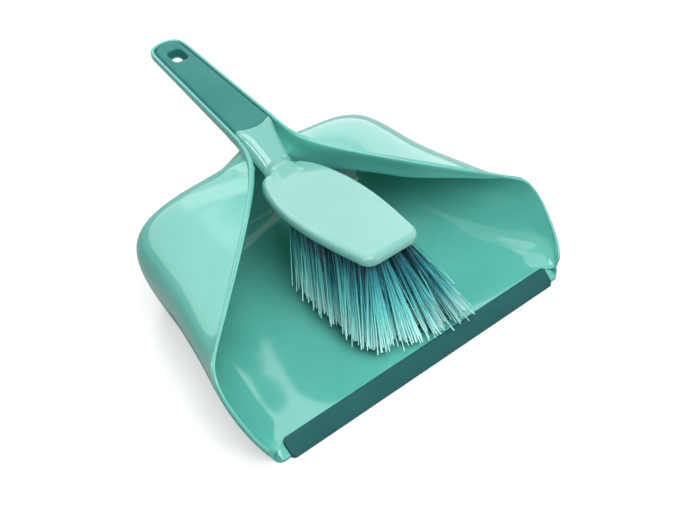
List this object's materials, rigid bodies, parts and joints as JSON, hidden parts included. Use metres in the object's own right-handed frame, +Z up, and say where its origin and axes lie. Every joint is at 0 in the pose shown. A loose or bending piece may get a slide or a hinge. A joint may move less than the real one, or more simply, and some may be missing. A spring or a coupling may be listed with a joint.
{
  "type": "dustpan and brush set",
  "caption": "Hooded plastic dustpan with a rubber lip and a hand brush that lies in its channelled handle and lifts out for sweeping.",
  "frame": {"origin": "on the ground, under the middle of the set's bounding box", "axes": "+Z up, -Y towards the rubber lip, +Y along both handles towards the hang hole, +X to the right of a viewer who faces the lip"},
  "size_m": [0.312, 0.3068, 0.1323],
  "materials": {
    "pan_plastic": "satin gloss mint polypropylene",
    "lip_rubber": "matt dark teal",
    "brush_plastic": "satin gloss pale mint polypropylene",
    "grip_rubber": "soft-touch teal with a dull sheen",
    "bristle_filament": "blue-teal filament, paler at its frayed tips",
    "anchor_wire": "flat drawn wire"
  },
  "bodies": {
    "dustpan": {"pan_shell": "pan_plastic", "pan_floor": "pan_plastic", "pan_handle": "pan_plastic", "rubber_lip": "lip_rubber"},
    "hand_brush": {"brush_body": "brush_plastic", "soft_grip": "grip_rubber", "bristle_rows_1": "bristle_filament", "bristle_rows_2": "bristle_filament", "bristle_rows_3": "bristle_filament", "bristle_rows_4": "bristle_filament", "tuft_anchor_01": "anchor_wire", "tuft_anchor_02": "anchor_wire", "tuft_anchor_03": "anchor_wire", "tuft_anchor_04": "anchor_wire", "tuft_anchor_05": "anchor_wire", "tuft_anchor_06": "anchor_wire", "tuft_anchor_07": "anchor_wire", "tuft_anchor_08": "anchor_wire", "tuft_anchor_09": "anchor_wire", "tuft_anchor_10": "anchor_wire", "tuft_anchor_11": "anchor_wire", "tuft_anchor_12": "anchor_wire", "tuft_anchor_13": "anchor_wire", "tuft_anchor_14": "anchor_wire", "tuft_anchor_15": "anchor_wire", "tuft_anchor_16": "anchor_wire", "tuft_anchor_17": "anchor_wire", "tuft_anchor_18": "anchor_wire", "tuft_anchor_19": "anchor_wire", "tuft_anchor_20": "anchor_wire", "tuft_anchor_21": "anchor_wire", "tuft_anchor_22": "anchor_wire", "tuft_anchor_23": "anchor_wire", "tuft_anchor_24": "anchor_wire", "tuft_anchor_25": "anchor_wire", "tuft_anchor_26": "anchor_wire", "tuft_anchor_27": "anchor_wire", "tuft_anchor_28": "anchor_wire", "tuft_anchor_29": "anchor_wire", "tuft_anchor_30": "anchor_wire", "tuft_anchor_31": "anchor_wire", "tuft_anchor_32": "anchor_wire", "tuft_anchor_33": "anchor_wire", "tuft_anchor_34": "anchor_wire", "tuft_anchor_35": "anchor_wire", "tuft_anchor_36": "anchor_wire", "tuft_anchor_37": "anchor_wire", "tuft_anchor_38": "anchor_wire", "tuft_anchor_39": "anchor_wire", "tuft_anchor_40": "anchor_wire", "tuft_anchor_41": "anchor_wire", "tuft_anchor_42": "anchor_wire", "tuft_anchor_43": "anchor_wire", "tuft_anchor_44": "anchor_wire", "tuft_anchor_45": "anchor_wire", "tuft_anchor_46": "anchor_wire", "tuft_anchor_47": "anchor_wire", "tuft_anchor_48": "anchor_wire"}
  },
  "joints": [
    {"name": "brush_lift", "type": "slide", "parent": "dustpan", "child": "hand_brush", "axis": [0, -0.1994, 0.9799], "range_m": [0, 0.16]}
  ]
}
